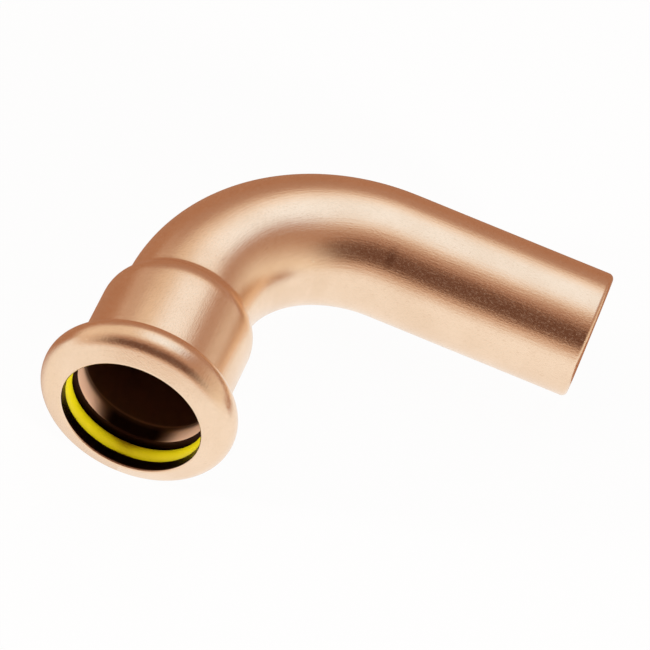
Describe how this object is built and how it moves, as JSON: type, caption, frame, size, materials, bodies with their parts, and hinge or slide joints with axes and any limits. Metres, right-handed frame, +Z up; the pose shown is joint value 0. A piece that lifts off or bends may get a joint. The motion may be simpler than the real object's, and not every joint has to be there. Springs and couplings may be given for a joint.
{
  "type": "press-fit street elbow",
  "caption": "Copper press-fit street elbow: a beaded press socket with a yellow sealing ring, a quarter bend and a plain spigot, for joining gas tube at a right angle.",
  "frame": {"origin": "on the surface it lies on, under the middle of its box", "axes": "+X along the spigot's axis, towards its open end; the socket's mouth faces -Y and a little up; +Z up"},
  "size_m": [0.0652, 0.0544, 0.0271],
  "materials": {
    "copper": "satin bare copper, pickled, with a fine grain",
    "seal_rubber": "smooth yellow rubber"
  },
  "bodies": {
    "root": {"elbow_body": "copper", "seal_ring": "seal_rubber"}
  },
  "joints": []
}
